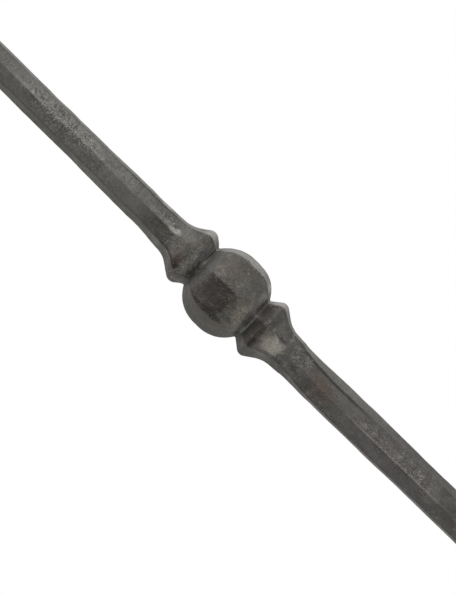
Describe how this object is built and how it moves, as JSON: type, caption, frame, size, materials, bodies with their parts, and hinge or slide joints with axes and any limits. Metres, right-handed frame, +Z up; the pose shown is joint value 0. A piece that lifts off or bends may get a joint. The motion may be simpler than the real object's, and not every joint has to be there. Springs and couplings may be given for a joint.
{
  "type": "stair baluster",
  "caption": "Hand-forged iron stair baluster: one eight-faced bar with a faceted ball between two flared collars at mid-height.",
  "frame": {"origin": "centre of the lower end face, where the bar meets the stair tread", "axes": "+Z up along the bar; a ridge of the ball faces each of +X, -X, +Y and -Y"},
  "size_m": [0.0402, 0.0402, 1.1176],
  "materials": {
    "mill_scale_iron": "dark grey forge scale, hammered, with thin brown rust in places and bare metal on the ridges"
  },
  "bodies": {
    "root": {"forged_baluster": "mill_scale_iron"}
  },
  "joints": []
}
